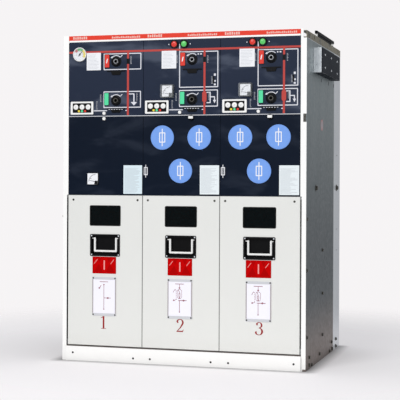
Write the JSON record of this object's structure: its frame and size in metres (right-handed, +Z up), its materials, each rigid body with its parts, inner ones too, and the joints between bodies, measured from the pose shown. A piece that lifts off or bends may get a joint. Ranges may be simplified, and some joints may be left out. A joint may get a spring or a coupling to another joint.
{
  "type": "gas insulated ring main unit",
  "caption": "Free-standing gas insulated medium-voltage switchgear cabinet with mimic panels above, lift-off cable covers below and busbar covers at the sides.",
  "frame": {"origin": "on the floor, at the middle of the whole unit's width and depth", "axes": "+Z up, +X to the right seen from the front, +Y from the front to the back"},
  "size_m": [1.091, 0.785, 1.354],
  "materials": {
    "galvanised_steel": "galvanised, dull",
    "bright_zinc": "zinc plated, bright",
    "stainless_tank": "brushed stainless",
    "moulded_resin": "cast resin, matte",
    "white_paint": "powder coat, satin",
    "passivated_steel": "passivated, olive",
    "black_paint": "powder coat, satin",
    "white_insulator": "moulded, satin",
    "navy_panel": "film faced, satin",
    "cover_paint": "powder coat, fine texture",
    "smoked_pane": "smoked, clear",
    "black_plastic": "moulded, satin",
    "white_plastic": "moulded, satin",
    "clear_plastic": "clear moulding",
    "blue_plastic": "moulded, satin",
    "red_button": "gloss lens",
    "green_button": "gloss lens"
  },
  "bodies": {
    "cabinet": {"base_frame": "galvanised_steel", "floor_plate": "galvanised_steel", "kick_panel": "white_paint", "side_plates": "galvanised_steel", "rear_corners": "bright_zinc", "rear_panels": "bright_zinc", "gas_tank": "stainless_tank", "cross_rails": "bright_zinc", "bay_partitions": "galvanised_steel", "mechanism_frames": "bright_zinc", "cable_bushings": "moulded_resin", "corner_trim_left": "white_paint", "corner_trim_right": "white_paint", "header_strip": "white_paint", "top_plate": "bright_zinc", "top_rails": "passivated_steel", "top_guard_bars": "black_paint", "top_spacers": "white_insulator", "busbar_brackets": "bright_zinc", "busbar_covers": "black_paint", "upper_panel_1": "navy_panel", "upper_panel_2": "navy_panel", "upper_panel_3": "navy_panel", "lower_panels": "navy_panel", "cable_cover_1": "cover_paint", "cable_cover_2": "cover_paint", "cable_cover_3": "cover_paint", "window_panes": "smoked_pane", "handle_dishes": "black_plastic", "diagram_holders": "white_plastic", "gauge_case": "white_plastic", "meter_bases": "black_plastic", "meter_covers": "clear_plastic", "voltage_indicators": "black_plastic", "fuse_covers": "blue_plastic", "button_bezels": "black_plastic", "padlock_slides": "black_plastic", "release_knobs": "white_plastic"},
    "handle_1": {"bail_1": "white_plastic"},
    "handle_2": {"bail_2": "white_plastic"},
    "handle_3": {"bail_3": "white_plastic"},
    "red_button_2": {"button_red_2": "red_button"},
    "green_button_2": {"button_green_2": "green_button"},
    "red_button_3": {"button_red_3": "red_button"},
    "green_button_3": {"button_green_3": "green_button"},
    "switch_shaft_1": {"switch_socket_1": "black_plastic"},
    "earth_shaft_1": {"earth_socket_1": "black_plastic"},
    "switch_shaft_2": {"switch_socket_2": "black_plastic"},
    "earth_shaft_2": {"earth_socket_2": "black_plastic"},
    "switch_shaft_3": {"switch_socket_3": "black_plastic"},
    "earth_shaft_3": {"earth_socket_3": "black_plastic"}
  },
  "joints": [
    {"name": "handle_1_swing", "type": "hinge", "parent": "cabinet", "child": "handle_1", "pos_m": [-0.324, -0.36725, 0.50375], "axis": [-1, 0, 0], "range_deg": [0, 90]},
    {"name": "handle_2_swing", "type": "hinge", "parent": "cabinet", "child": "handle_2", "pos_m": [0, -0.36725, 0.50375], "axis": [-1, 0, 0], "range_deg": [0, 90]},
    {"name": "handle_3_swing", "type": "hinge", "parent": "cabinet", "child": "handle_3", "pos_m": [0.324, -0.36725, 0.50375], "axis": [-1, 0, 0], "range_deg": [0, 90]},
    {"name": "red_button_2_press", "type": "slide", "parent": "cabinet", "child": "red_button_2", "axis": [0, 1, 0], "range_m": [0, 0.004], "stiffness_N_per_m": 500},
    {"name": "green_button_2_press", "type": "slide", "parent": "cabinet", "child": "green_button_2", "axis": [0, 1, 0], "range_m": [0, 0.004], "stiffness_N_per_m": 500},
    {"name": "red_button_3_press", "type": "slide", "parent": "cabinet", "child": "red_button_3", "axis": [0, 1, 0], "range_m": [0, 0.004], "stiffness_N_per_m": 500},
    {"name": "green_button_3_press", "type": "slide", "parent": "cabinet", "child": "green_button_3", "axis": [0, 1, 0], "range_m": [0, 0.004], "stiffness_N_per_m": 500},
    {"name": "switch_shaft_1_turn", "type": "hinge", "parent": "cabinet", "child": "switch_shaft_1", "pos_m": [-0.279, -0.3725, 1.2265], "axis": [0, 1, 0], "range_deg": [0, 90]},
    {"name": "earth_shaft_1_turn", "type": "hinge", "parent": "cabinet", "child": "earth_shaft_1", "pos_m": [-0.279, -0.3725, 1.067], "axis": [0, 1, 0], "range_deg": [0, 90]},
    {"name": "switch_shaft_2_turn", "type": "hinge", "parent": "cabinet", "child": "switch_shaft_2", "pos_m": [0.045, -0.3725, 1.2265], "axis": [0, 1, 0], "range_deg": [0, 90]},
    {"name": "earth_shaft_2_turn", "type": "hinge", "parent": "cabinet", "child": "earth_shaft_2", "pos_m": [0.045, -0.3725, 1.067], "axis": [0, 1, 0], "range_deg": [0, 90]},
    {"name": "switch_shaft_3_turn", "type": "hinge", "parent": "cabinet", "child": "switch_shaft_3", "pos_m": [0.369, -0.3725, 1.2265], "axis": [0, 1, 0], "range_deg": [0, 90]},
    {"name": "earth_shaft_3_turn", "type": "hinge", "parent": "cabinet", "child": "earth_shaft_3", "pos_m": [0.369, -0.3725, 1.067], "axis": [0, 1, 0], "range_deg": [0, 90]}
  ]
}
